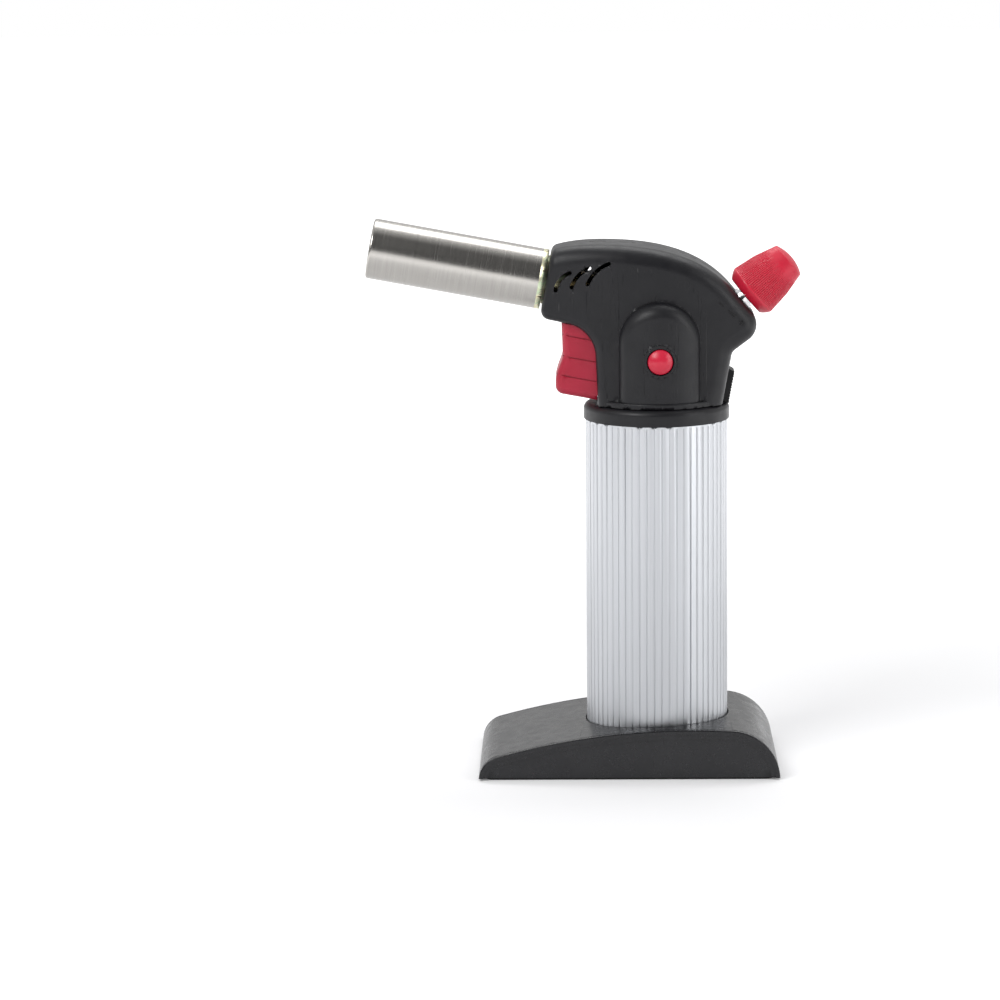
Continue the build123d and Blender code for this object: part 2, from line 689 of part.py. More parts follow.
def head_screws():
    screws = []
    for x, h in BOSSES:
        place, seat = head_screw(x, h)
        cross = Box(SCREW_HEAD_R, 0.6, 1.6) + Box(0.6, SCREW_HEAD_R, 1.6)
        screw = rod(SCREW_HEAD_R, seat, seat + SCREW_HEAD_T) + rod(SCREW_R, seat - HEAD_SCREW_L, seat)
        screws.append(place * (screw - Pos(0, 0, seat + SCREW_HEAD_T) * cross))
    return Compound(screws)


# ---- burner --------------------------------------------------------------------------------------
TUBE_START = COLLET_GAP + COLLET_L
TUBE_END = TUBE_START + TUBE_L
FLAME_FACE = TUBE_END - FLAME_SETBACK


def burner_tube():
    inner = TUBE_R - TUBE_WALL
    tube = ring(TUBE_R, inner, TUBE_START, TUBE_END)
    lip = ring(inner + TOUCH, inner - TUBE_WALL, TUBE_END - 2 * TUBE_WALL, TUBE_END)
    tube += lip
    return BURNER * fillet(rim_edge(tube, TUBE_R, TUBE_END), TUBE_CURL)


def insulator_place():
    return Rot(0, 0, 45) * Pos(ELECTRODE_OUT, 0, 0)


def burner_collet():
    """Zinc-plated cap that joins the tube to the head."""
    bore, disc_end = MIXER_R + FIT, TUBE_START + COLLET_SPIGOT
    tail_in = COLLET_TAIL_R - COLLET_TAIL_WALL
    cap = turned(
        (bore, COLLET_GAP), (tail_in, COLLET_GAP), (tail_in, -COLLET_TAIL_L), (COLLET_TAIL_R, -COLLET_TAIL_L),
        (COLLET_TAIL_R, COLLET_GAP), (TUBE_R, COLLET_GAP), (TUBE_R, TUBE_START),
        (TUBE_R - TUBE_WALL - FIT, TUBE_START), (TUBE_R - TUBE_WALL - FIT, disc_end), (bore, disc_end),
    )
    return BURNER * (cap - insulator_place() * rod(INSULATOR_R + FIT, 0, disc_end + 1))


def mixing_tube():
    front = FLAME_FACE - FLAME_T / 2
    tube = ring(MIXER_R, MIXER_R - MIXER_WALL, -MIXER_BACK, front)
    hole_s = -MIXER_BACK + JET_NOSE_L + AIR_HOLE_R + 0.6
    drill = Pos(0, 0, hole_s) * Rot(0, 90, 0) * rod(AIR_HOLE_R, 0, 2 * MIXER_R)
    holes = [Rot(0, 0, 360 / AIR_HOLES * (i + 0.5)) * drill for i in range(AIR_HOLES)]
    return BURNER * (tube - holes)


def flame_holder():
    """Perforated nozzle at the flame end."""
    back, step = FLAME_FACE - FLAME_T, FLAME_FACE - FLAME_T / 2
    bore = MIXER_R - MIXER_WALL
    holder = turned(
        (bore, back + FLAME_T / 2), (bore / 2, back + FLAME_T / 2), (bore / 2, FLAME_FACE),
        (TUBE_R - TUBE_WALL - FIT, FLAME_FACE), (TUBE_R - TUBE_WALL - FIT, back), (MIXER_R + FIT, back),
        (MIXER_R + FIT, step), (bore, step),
    )
    for i in range(FLAME_HOLES):
        angle = 360 / FLAME_HOLES * i
        holder -= Rot(0, 0, angle) * Pos(FLAME_HOLE_PCR, 0, 0) * rod(FLAME_HOLE_R, back - 1, FLAME_FACE + 1)
    return BURNER * (holder - insulator_place() * rod(INSULATOR_R + FIT, back - 1, FLAME_FACE + 1))


def gas_jet():
    back = -MIXER_BACK - JET_THREAD_L
    nose = rod(MIXER_R - MIXER_WALL - FIT, -MIXER_BACK, -MIXER_BACK + JET_NOSE_L)
    jet = nose + rod(JET_THREAD_R, back, -MIXER_BACK)
    pitch = JET_THREAD_L / (JET_THREADS + 1)
    for i in range(JET_THREADS):
        at = back + pitch * (i + 1)
        jet -= ring(JET_THREAD_R + 1, JET_R, at - pitch / 4, at + pitch / 4)
    return BURNER * (jet - rod(JET_BORE_R, back - 1, 0))


def gas_tube():
    """Brass pipe from the valve's nipple to the jet."""
    start = MOUTH - FORWARD * (MIXER_BACK + JET_THREAD_L)
    bend = meet(MOUTH, FORWARD, Vector(NIPPLE_X, 0, 0), Vector(0, 0, 1))
    end = Vector(NIPPLE_X, 0, VALVE_H + NIPPLE_L)
    route = FilletPolyline(start, bend, end, radius=TUBE_BEND)
    section = Plane(origin=start, z_dir=-FORWARD)
    return sweep(section * (Circle(GAS_TUBE_R) - Circle(GAS_TUBE_BORE_R)), path=route)


def insulator():
    return BURNER * (insulator_place() * (rod(INSULATOR_R, -COLLET_TAIL_L, FLAME_FACE) - rod(ELECTRODE_R, -20, 80)))


def electrode():
    return BURNER * (insulator_place() * rod(ELECTRODE_R, -COLLET_TAIL_L - 1.5, FLAME_FACE + FLAME_SETBACK / 2))


# ---- gas valve and knob --------------------------------------------------------------------------
def spindle_bore():
    return KNOB * rod(SPINDLE_R + FIT, -SPINDLE_BACK - 1, SPINDLE_OUT)


def stem_bore():
    return PUSH * (Pos(0, 0, ARM_UP) * Rot(0, 90, 0) * rod(STEM_R + FIT, 0, STEM_START + STEM_L + STEM_TRAVEL + 1))


def valve_body():
    seat = NECK_TOP_Z - DECK_Z
    body = Pos(VALVE_X, 0, 0) * (rod(VALVE_R, seat, VALVE_H) + rod(VALVE_FLANGE_R, seat, seat + VALVE_FLANGE_T))
    sleeve_back = -(FACE_X - VALVE_X) / COSK
    body += KNOB * rod(SLEEVE_R, sleeve_back, GLAND_OUT)
    body += Pos(NIPPLE_X, 0, 0) * rod(NIPPLE_R, VALVE_H - 1, VALVE_H + NIPPLE_L)
    return body - spindle_bore() - stem_bore()


def valve_stem():
    return PUSH * (Pos(STEM_START, 0, ARM_UP) * Rot(0, 90, 0) * rod(STEM_R, 0, STEM_L))


def gland_nut():
    return KNOB * ring(GLAND_R, SLEEVE_R, -GLAND_BACK, GLAND_OUT)


def spindle_washer():
    return KNOB * ring(WASHER_R, SPINDLE_R + FIT, GLAND_OUT, GLAND_OUT + WASHER_T)


def needle_spindle():
    taper = 2.5
    return KNOB * turned(
        (0, -SPINDLE_BACK), (SPINDLE_R / 3, -SPINDLE_BACK), (SPINDLE_R, -SPINDLE_BACK + taper),
        (SPINDLE_R, SPINDLE_OUT), (0, SPINDLE_OUT),
    )


def gas_knob():
    low, wide = KNOB_START, KNOB_START + KNOB_SKIRT
    high = KNOB_START + KNOB_L
    middle = ((KNOB_R + KNOB_TOP_R) / 2 + KNOB_BARREL, (wide + high) / 2)
    groove_end = wide + KNOB_GROOVE_IN + KNOB_GROOVE_L
    end_r = KNOB_TOP_R + (middle[0] - KNOB_TOP_R) * (high - groove_end) / (high - middle[1])
    outline = make_face(Plane.XZ * (Curve() + [
        Line((0, low), (KNOB_BASE_R, low)),
        ThreePointArc((KNOB_BASE_R, low), (KNOB_R - 0.75, (low + wide) / 2 + 0.2), (KNOB_R, wide)),
        Polyline((KNOB_R, wide), middle, (KNOB_TOP_R, high)),
        dome(KNOB_TOP_R, high, KNOB_CROWN),
        Line((0, high + KNOB_CROWN), (0, low)),
    ]))
    knob = revolve(outline, Axis.Z)
    knob = fillet(rim_edge(knob, KNOB_TOP_R, high), KNOB_EDGE)
    start = wide + KNOB_GROOVE_IN
    groove = make_face(Plane.XZ * Polyline(
        (KNOB_R - KNOB_GROOVE_D - 0.05, start), (middle[0] - KNOB_GROOVE_D, middle[1]), (end_r, groove_end),
        (2 * KNOB_R, groove_end), (2 * KNOB_R, start), close=True))
    cutter = extrude(groove, KNOB_GROOVE_W / 2, both=True)
    knob -= [Rot(0, 0, 360 / KNOB_GROOVES * i) * cutter for i in range(KNOB_GROOVES)]
    return KNOB * (knob - rod(SPINDLE_R + FIT, 0, SPINDLE_OUT))


# ---- trigger and igniter -------------------------------------------------------------------------
def trigger_profile(inset):
    """Side view of the trigger: straight above, swelling out to its toe."""
    top = MOUTH - ACROSS * (MOUTH_BELOW + GAP + inset)
    foot = Vector(TRIGGER_TOE_X, 0, TRIGGER_FOOT_H) + ACROSS * inset
    up = Vector(0, 0, 1)
    start = meet(top, FORWARD, Vector(TRIGGER_TOP_X + inset, 0, 0), up)
    end = meet(top, FORWARD, Vector(TRIGGER_REAR_X + 2 * inset, 0, 0), up)
    heel = meet(foot, FORWARD, Vector(TRIGGER_TOE_X + inset, 0, 0), up)
    back = meet(foot, FORWARD, Vector(TRIGGER_REAR_X + 2 * inset, 0, 0), up)
    bend = (TRIGGER_TOP_X + 0.4 + inset, TRIGGER_BEND_H)
    toe = (TRIGGER_TOE_X + inset, TRIGGER_TOE_H)
    profile = upright(
        Line(flat(start), bend),
        Spline(bend, toe, tangents=[(-0.15, -1), (0, -1)]),
        Polyline(toe, flat(heel), flat(back), flat(end), flat(start)),
    )
    return fillet(corner(profile, heel), TRIGGER_ROUND - inset)


def trigger():
    half = TRIGGER_HALF
    body = extrude(trigger_profile(0), half, both=True)
    front = [e for e in body.edges() if abs(abs((e @ 0.5).Y) - half) < TOUCH and (e @ 0.5).X < TRIGGER_TOP_X + 1]
    body = fillet(front, TRIGGER_ROUND - 0.4)
    core = extrude(trigger_profile(GRIP_LINE_D), half - GRIP_LINE_D, both=True)
    for h in GRIP_LINES:
        level = Vector(TRIGGER_TOP_X, 0, h)
        line = Plane(origin=level, x_dir=-FORWARD, z_dir=ACROSS) * Box(80, 3 * half, GRIP_LINE_W)
        body -= line - core
    hollow = extrude(trigger_profile(TRIGGER_WALL), half - TRIGGER_WALL, both=True)
    body -= hollow + slab(FRONT_X, 0, -half + TRIGGER_WALL, half - TRIGGER_WALL, FLANGE_T, TRIGGER_BEND_H)
    body -= block(FRONT_X - 0.3, 0, 2 * half, -5, FLANGE_T + TRIGGER_TRAVEL * SINT + GAP)
    inside_x = (TRIGGER_TOP_X - PUSH_X) / COST
    web = block(inside_x, 0, ARM_W / 2, ARM_UP - ARM_H / 2, IGNITER_UP + PLUNGER_R)
    pad = block(-1.2, GAP, PLUNGER_R + 0.8, IGNITER_UP - PLUNGER_R, IGNITER_UP + PLUNGER_R)
    arm = block(-1.2, ARM_END, ARM_W / 2, ARM_UP - ARM_H / 2, ARM_UP + ARM_H / 2)
    lock_up = button_in_push().Z
    lock = slab(-4, LOCK_ARM_END, -half + TRIGGER_WALL, -LOCK_ARM_Y, lock_up - LOCK_ARM_H / 2,
                lock_up + LOCK_ARM_H / 2)
    hole_x = button_in_push().X - TRIGGER_TRAVEL
    lock -= Pos(hole_x, 0, lock_up) * Rot(90, 0, 0) * Cylinder(LOCK_HOLE_R, 4 * half)
    return body + PUSH * (web + pad + arm + lock)


def button_in_push():
    """The lock button's place in the sloping frame."""
    return PUSH.to_local_coords(Vector(BUTTON_X, 0, BUTTON_H))


def igniter_plunger():
    axis = Pos(0, 0, IGNITER_UP) * Rot(0, 90, 0)
    return PUSH * (axis * rod(PLUNGER_R, GAP, IGNITER_START + PLUNGER_INSIDE))


def igniter_body():
    end = IGNITER_START + IGNITER_L
    case = block(IGNITER_START, end, IGNITER_H / 2, IGNITER_UP - IGNITER_H / 2, IGNITER_UP + IGNITER_H / 2)
    case = fillet(case.edges().filter_by(Axis.X), 0.8)
    depth = IGNITER_START + PLUNGER_INSIDE + TRIGGER_TRAVEL + GAP
    case -= Pos(0, 0, IGNITER_UP) * Rot(0, 90, 0) * rod(PLUNGER_R + FIT, 0, depth)
    return PUSH * case


# ---- lock button ---------------------------------------------------------------------------------
def lock_button():
    top = BULGE_R + BUTTON_PROUD
    low = top - BUTTON_CAP_L
    outline = make_face(Plane.XZ * (Curve() + [
        Polyline((0, BUTTON_TIP_Y), (BUTTON_SHAFT_R, BUTTON_TIP_Y), (BUTTON_SHAFT_R, low), (BUTTON_R, low),
                 (BUTTON_R, top)),
        dome(BUTTON_R, top, BUTTON_DOME),
        Line((0, top + BUTTON_DOME), (0, BUTTON_TIP_Y)),
    ]))
    return BUTTON * revolve(outline, Axis.Z)


def button_clip():
    back = BULGE_R - BUTTON_CAP_L - BUTTON_TRAVEL + BUTTON_PROUD - GUIDE_FLOOR_T
    return BUTTON * ring(CLIP_R, BUTTON_SHAFT_R, back - GAP - CLIP_T, back - GAP)


# ---- safety slider -------------------------------------------------------------------------------
def safety_slider():
    low, high = SLIDER_LOW, SLIDER_LOW + SLIDER_L
    bed = -CHANNEL_D + GAP / 2
    side = make_face(Plane.YZ * Polyline(
        (low, bed), (high + 0.6, bed), (high - 0.6, SLIDER_PROUD), (low - SLIDER_HANG, SLIDER_PROUD),
        (low, GAP), close=True))
    cap = extrude(side, SLIDER_HALF, both=True)
    pitch = (SLIDER_L - 1.6) / SLIDER_RIBS
    for i in range(SLIDER_RIBS + 1):
        cap -= Pos(0, low + 0.7 + pitch * i, SLIDER_PROUD) * Box(3 * SLIDER_HALF, pitch / 2.4, 2 * SLIDER_RIB_D)
    tab_y = low + TAB_UP
    tab = Pos(0, tab_y + TAB_L / 2, (bed - WALL - GAP) / 2) * Box(2 * TAB_HALF, TAB_L, WALL + GAP + bed)
    return REAR * (cap + tab)


def slider_catch():
    y = SLIDER_LOW + TAB_UP + TAB_L / 2
    return REAR * (Pos(0, y, -WALL - GAP - CATCH_T / 2) * Box(2 * CATCH_HALF, CATCH_L, CATCH_T))


# ---- ignition lead -------------------------------------------------------------------------------
LEAD_R = 0.9


def ignition_lead():
    """Insulated wire from the igniter's terminal to the electrode's rear end."""
    side = ELECTRODE_OUT * sin(radians(45))
    electrode_end = BURNER.from_local_coords(Vector(side, side, -COLLET_TAIL_L - 1.5))
    knee = BURNER.from_local_coords(Vector(side, side, -COLLET_TAIL_L - 24))
    terminal = PUSH.from_local_coords(Vector(IGNITER_START + IGNITER_L - 4, 2.0, IGNITER_UP + IGNITER_H / 2))
    riser = terminal + ACROSS * 9
    route = FilletPolyline(electrode_end, knee, riser, terminal, radius=4.5)
    section = Plane(origin=electrode_end, z_dir=-FORWARD)
    return sweep(section * Circle(LEAD_R), path=route)


# ---- everything in its place ---------------------------------------------------------------------
keep("stand_pad", stand_pad())
keep("stand_plate", stand_plate())
keep("stand_cover", stand_cover())
keep("stand_screws", stand_screws())

keep("tank_shell", tank_shell())
keep("tank_closure", tank_closure())
keep("tank_seal", tank_seal())
keep("wick", wick())
keep("fill_valve", fill_valve())
keep("collar_ring", collar_ring())

housing_left, housing_right = halves()
keep("housing_left", on_deck(housing_left))
keep("housing_right", on_deck(housing_right))
keep("housing_screws", on_deck(head_screws()))

keep("burner_tube", on_deck(burner_tube()))
keep("burner_collet", on_deck(burner_collet()))
keep("mixing_tube", on_deck(mixing_tube()))
keep("flame_holder", on_deck(flame_holder()))
keep("gas_jet", on_deck(gas_jet()))
keep("gas_tube", on_deck(gas_tube()))
keep("electrode", on_deck(electrode()))
keep("electrode_insulator", on_deck(insulator()))
keep("ignition_lead", on_deck(ignition_lead()))

keep("valve_body", on_deck(valve_body()))
keep("valve_stem", on_deck(valve_stem()))
keep("gland_nut", on_deck(gland_nut()))
keep("spindle_washer", on_deck(spindle_washer()))
keep("needle_spindle", on_deck(needle_spindle()))
keep("gas_knob", on_deck(gas_knob()))

keep("trigger", on_deck(trigger()))
keep("igniter_plunger", on_deck(igniter_plunger()))
keep("igniter_body", on_deck(igniter_body()))
keep("lock_button", on_deck(lock_button()))
keep("button_clip", on_deck(button_clip()))
keep("safety_slider", on_deck(safety_slider()))
keep("slider_catch", on_deck(slider_catch()))

for name, shape in nodes.items():
    export_step(shape, f"parts/{name}.step")
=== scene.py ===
import json
from math import asin, radians

import bpy
from mathutils import Matrix, Vector
from mathutils.bvhtree import BVHTree


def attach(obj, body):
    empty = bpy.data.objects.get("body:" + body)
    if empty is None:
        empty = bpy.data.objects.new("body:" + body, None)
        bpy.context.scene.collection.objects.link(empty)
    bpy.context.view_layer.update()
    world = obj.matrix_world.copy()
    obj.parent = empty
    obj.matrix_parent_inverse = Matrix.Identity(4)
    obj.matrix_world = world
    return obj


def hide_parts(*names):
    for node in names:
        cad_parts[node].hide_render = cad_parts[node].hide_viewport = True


# Butane torch in its bench stand.  Everything is in metres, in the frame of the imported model:
# -X towards the flame, +X towards the gas knob, -Y towards the lock button, Z up.

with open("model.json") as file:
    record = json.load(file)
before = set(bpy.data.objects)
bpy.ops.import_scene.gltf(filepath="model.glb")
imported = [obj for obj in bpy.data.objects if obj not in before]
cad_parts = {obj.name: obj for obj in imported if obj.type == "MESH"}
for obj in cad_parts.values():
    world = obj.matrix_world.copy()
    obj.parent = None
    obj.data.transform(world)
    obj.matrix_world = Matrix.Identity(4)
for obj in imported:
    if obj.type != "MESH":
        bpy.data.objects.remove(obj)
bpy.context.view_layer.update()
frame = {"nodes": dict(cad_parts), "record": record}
nodes = frame["nodes"]
record = frame["record"]
MM = 0.001

SLOT_OF = {part["node"]: part["material_slot"] for part in record["subparts"]}
BODY_OF = {node: body for body, members in record["behaviour"]["bodies"].items() for node in members}
JOINT = {joint["name"]: joint for joint in record["behaviour"]["joints"]}

PULL_DIR = Vector(JOINT["trigger_pull"]["axis"])      # the trigger's travel, down the burner's axis


# ---- materials: a Principled shader with noise behind its colour, gloss and relief -----------------
def add_node(tree, kind, **settings):
    made = tree.nodes.new("ShaderNode" + kind)
    for name, value in settings.items():
        setattr(made, name, value)
    return made


def new_finish(name, roughness, metallic=0.0, **sockets):
    """A material whose constants sit on the shader's own sockets."""
    material = bpy.data.materials.new(name)
    material.use_nodes = True
    shader = material.node_tree.nodes["Principled BSDF"]
    shader.inputs["Roughness"].default_value = roughness
    shader.inputs["Metallic"].default_value = metallic
    for socket, value in sockets.items():
        shader.inputs[socket.replace("_", " ")].default_value = value
    return material, material.node_tree, shader


def place(tree, scale=(1, 1, 1), turn=(0, 0, 0)):
    """The piece's own coordinates, turned and then stretched."""
    coordinates = add_node(tree, "TexCoord")
    turned = add_node(tree, "Mapping")
    turned.inputs["Rotation"].default_value = turn
    tree.links.new(coordinates.outputs["Object"], turned.inputs["Vector"])
    stretched = add_node(tree, "Mapping")
    stretched.inputs["Scale"].default_value = scale
    tree.links.new(turned.outputs["Vector"], stretched.inputs["Vector"])
    return stretched.outputs["Vector"]


def noise(tree, vector, scale, detail=3.0, roughness=0.55):
    made = add_node(tree, "TexNoise")
    made.inputs["Scale"].default_value = scale
    made.inputs["Detail"].default_value = detail
    made.inputs["Roughness"].default_value = roughness
    tree.links.new(vector, made.inputs["Vector"])
    return made.outputs["Fac"]


def blend_colours(tree, fac, stops, socket):
    """Feeds a socket with colours placed along a factor, as (place, colour) stops."""
    ramp = add_node(tree, "ValToRGB")
    line = ramp.color_ramp.elements
    while len(line) < len(stops):
        line.new(0.5)
    for mark, (at, colour) in zip(line, stops):
        mark.position = at
        mark.color = (*colour, 1)
    tree.links.new(fac, ramp.inputs["Fac"])
    tree.links.new(ramp.outputs["Color"], socket)


def spread(tree, fac, low, high, socket):
    """Feeds a socket with a number between low and high as the factor goes through its middle range."""
    made = add_node(tree, "MapRange")
    made.inputs["From Min"].default_value = 0.3
    made.inputs["From Max"].default_value = 0.7
    made.inputs["To Min"].default_value = low
    made.inputs["To Max"].default_value = high
    tree.links.new(fac, made.inputs["Value"])
    tree.links.new(made.outputs["Result"], socket)


def relief(tree, shader, height, strength, depth):
    bump = add_node(tree, "Bump")
    bump.inputs["Strength"].default_value = strength
    bump.inputs["Distance"].default_value = depth
    tree.links.new(height, bump.inputs["Height"])
    tree.links.new(bump.outputs["Normal"], shader.inputs["Normal"])


def moulded(name, dark, light, roughness, grain, depth, **sockets):
    """Moulded plastic: a faint cloudiness in the colour, uneven gloss and a fine grain."""
    material, tree, shader = new_finish(name, roughness, **sockets)
    here = place(tree)
    blend_colours(tree, noise(tree, here, 90.0), [(0.35, dark), (0.65, light)], shader.inputs["Base Color"])
    spread(tree, noise(tree, here, 260.0), roughness - 0.05, roughness + 0.05, shader.inputs["Roughness"])
    relief(tree, shader, noise(tree, here, grain, detail=2.0), 0.35, depth)
    return material


def worked_metal(name, dark, light, roughness, stretch, turn=(0, 0, 0), depth=0.00003):
    """Metal with fine lines along one direction."""
    material, tree, shader = new_finish(name, roughness, metallic=1.0)
    along = place(tree, stretch, turn)
    lines = noise(tree, along, 1.0, detail=5.0, roughness=0.65)
    blend_colours(tree, lines, [(0.32, dark), (0.68, light)], shader.inputs["Base Color"])
    spread(tree, lines, roughness - 0.03, roughness + 0.03, shader.inputs["Roughness"])
    relief(tree, shader, lines, 0.3, depth)
    return material


BURNER_TURN = (0, asin(PULL_DIR.z), 0)     # lays the burner's axis along X

FINISH = {
    "black_plastic": moulded("satin black moulding", (0.008, 0.008, 0.010), (0.011, 0.011, 0.013), 0.42,
                             2600.0, 0.00005, Specular_IOR_Level=0.32),
    "stand_plastic": moulded("stand black moulding", (0.006, 0.006, 0.008), (0.009, 0.009, 0.011), 0.28,
                             2200.0, 0.00004),
    "dark_plastic": moulded("plain black moulding", (0.004, 0.004, 0.005), (0.007, 0.007, 0.008), 0.5,
                            1800.0, 0.00005, Specular_IOR_Level=0.3),
    "igniter_case": moulded("igniter black moulding", (0.014, 0.014, 0.016), (0.02, 0.02, 0.022), 0.4,
                            1500.0, 0.00004),
    "pad_rubber": moulded("soft pad", (0.02, 0.02, 0.02), (0.03, 0.03, 0.03), 0.85, 1200.0, 0.0001),
    "seal_rubber": moulded("seal rubber", (0.02, 0.02, 0.02), (0.028, 0.028, 0.028), 0.6, 1500.0, 0.00005),
    "trigger_red": moulded("trigger red", (0.37, 0.004, 0.026), (0.42, 0.006, 0.034), 0.42, 1700.0, 0.00004),
    "knob_red": moulded("knob red", (0.56, 0.009, 0.034), (0.61, 0.013, 0.042), 0.40, 1700.0, 0.00004),
    "button_red": moulded("button red", (0.58, 0.012, 0.042), (0.63, 0.016, 0.050), 0.32, 1500.0, 0.00003),
    "tank_aluminium": worked_metal("satin aluminium", (0.54, 0.555, 0.58), (0.59, 0.605, 0.63), 0.38,
                                   (2500, 2500, 14), depth=0.000003),
    "tube_steel": worked_metal("brushed steel", (0.40, 0.385, 0.365), (0.47, 0.455, 0.43), 0.25,
                               (3200, 50, 50), BURNER_TURN, depth=0.000002),
    "screw_steel": worked_metal("plated screw steel", (0.35, 0.35, 0.36), (0.5, 0.5, 0.5), 0.35,
                                (900, 900, 900)),
    "chrome": worked_metal("bright plating", (0.72, 0.72, 0.74), (0.82, 0.82, 0.84), 0.14, (400, 400, 400)),
    "brass": worked_metal("turned brass", (0.60, 0.44, 0.19), (0.76, 0.59, 0.29), 0.26,
                          (900, 40, 40), BURNER_TURN),
    "ceramic": moulded("glazed ceramic", (0.78, 0.76, 0.72), (0.86, 0.84, 0.8), 0.25, 600.0, 0.00003),
    "lead_insulation": moulded("lead insulation", (0.6, 0.6, 0.57), (0.68, 0.68, 0.65), 0.45, 900.0, 0.00003),
    "wick_fibre": moulded("wick fibre", (0.6, 0.57, 0.5), (0.75, 0.72, 0.64), 0.9, 2500.0, 0.0002),
}


def zinc_plating():
    """Passivated zinc: a yellowish sheen with pink and green clouds."""
    material, tree, shader = new_finish("passivated zinc", 0.3, metallic=1.0)
    clouds = noise(tree, place(tree), 240.0, detail=4.0)
    stops = [(0.3, (0.52, 0.46, 0.20)), (0.48, (0.72, 0.69, 0.50)), (0.6, (0.50, 0.62, 0.42)),
             (0.74, (0.66, 0.48, 0.45))]
    blend_colours(tree, clouds, stops, shader.inputs["Base Color"])
    spread(tree, clouds, 0.24, 0.38, shader.inputs["Roughness"])
    relief(tree, shader, noise(tree, place(tree), 1500.0), 0.2, 0.00002)
    return material


FINISH["zinc_plated"] = zinc_plating()


# ---- the frame's own solids, with their finish ----------------------------------------------------
def only(obj):
    bpy.ops.object.select_all(action="DESELECT")
    obj.select_set(True)
    bpy.context.view_layer.objects.active = obj


def apply_modifier(obj, kind, **settings):
    only(obj)
    made = obj.modifiers.new(kind.lower(), kind)
    for name, value in settings.items():
        setattr(made, name, value)
    bpy.ops.object.modifier_apply(modifier=made.name)


# Spacing of the cuts that break up long triangles.
GRID = {
    "housing_left": 2.2 * MM,
    "housing_right": 2.2 * MM,
    "stand_cover": 3.0 * MM,
    "trigger": 1.6 * MM,
    "safety_slider": 1.6 * MM,
}
SLIVER = 0.02 * MM    # edges shorter than this are drawn together


def cut_in_grid(obj, step):
    """Breaks long triangles up along a grid, so that a face shades evenly right up to its edges."""
    corners = [Vector(corner) for corner in obj.bound_box]
    for axis in range(3):
        low = min(corner[axis] for corner in corners)
        high = max(corner[axis] for corner in corners)
        normal = [0, 0, 0]
        normal[axis] = 1
        for count in range(1, int((high - low) / step) + 1):
            point = [0, 0, 0]
            point[axis] = low + step * count
            bpy.ops.mesh.select_all(action="SELECT")
            bpy.ops.mesh.bisect(plane_co=point, plane_no=normal)


WELD = 0.002 * MM     # points closer than this are one point
SMOOTH_UP_TO = 32     # degrees between faces that shade as one surface


def weld_copy(name):
    """A copy of a solid with its triangles joined and its curved faces shaded smoothly."""
    source = nodes[name]
    copy = bpy.data.objects.new(name + "_skin", source.data.copy())
    bpy.context.scene.collection.objects.link(copy)
    only(copy)
    bpy.ops.object.mode_set(mode="EDIT")
    bpy.ops.mesh.select_all(action="SELECT")
    bpy.ops.mesh.remove_doubles(threshold=WELD)
    if name in GRID:
        cut_in_grid(copy, GRID[name])
        bpy.ops.mesh.select_all(action="SELECT")
        bpy.ops.mesh.dissolve_degenerate(threshold=SLIVER)
    bpy.ops.object.mode_set(mode="OBJECT")
    bpy.ops.object.shade_smooth_by_angle(angle=radians(SMOOTH_UP_TO))
    apply_modifier(copy, "WEIGHTED_NORMAL", keep_sharp=True, weight=50)
    return copy


def dress(name):
    """Shows a solid as its welded copy, in the finish of its material slot."""
    copy = weld_copy(name)
    copy.data.materials.clear()
    copy.data.materials.append(FINISH[SLOT_OF[name]])
    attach(copy, BODY_OF[name])
    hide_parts(name)
    return copy


skins = {name: dress(name) for name in sorted(nodes)}


# ---- moulded marks beside the gas knob -------------------------------------------------------------
MARK_T = 0.5 * MM      # half of it stands in the wall
MARK_EDGE = 0.08 * MM
MARK_L = 2.2 * MM      # length of the bars of the less and more marks
BAR_W = 0.55 * MM
WEDGE_L = 3.4 * MM
WEDGE_W = 1.5 * MM
WEDGE_THIN = 0.2       # its thin end, as a share of the thick one
LESS_AT = (23.4 * MM, 173.8 * MM)
WEDGE_AT = (27.3 * MM, 170.5 * MM)
MORE_AT = (30.7 * MM, 166.8 * MM)


def head_wall():
    """Both halves of the head, for finding a place on the wall beside the lock button."""
    points, faces = [], []
    for name in ("housing_left", "housing_right"):
        mesh = skins[name].data
        faces += [[len(points) + index for index in face.vertices] for face in mesh.polygons]
        points += [point.co.copy() for point in mesh.vertices]
    return BVHTree.FromPolygons(points, faces)


def flat_mark(name, length, width):
    """A flat blank on the ground plane, open in edit mode."""
    bpy.ops.object.select_all(action="DESELECT")
    bpy.ops.mesh.primitive_plane_add(size=1)
    mark = bpy.context.object
    mark.name = name
    bpy.ops.object.mode_set(mode="EDIT")
    bpy.ops.transform.resize(value=(length, width, 1))
    return mark


def choose(mark, kind, wanted):
    """Selects the faces or points whose place fulfils a condition."""
    bpy.ops.mesh.select_mode(type=kind)
    bpy.ops.mesh.select_all(action="DESELECT")
    bpy.ops.object.mode_set(mode="OBJECT")
    if kind == "FACE":
        for face in mark.data.polygons:
            face.select = wanted(face.center)
    else:
        for point in mark.data.vertices:
            point.select = wanted(point.co)
    bpy.ops.object.mode_set(mode="EDIT")


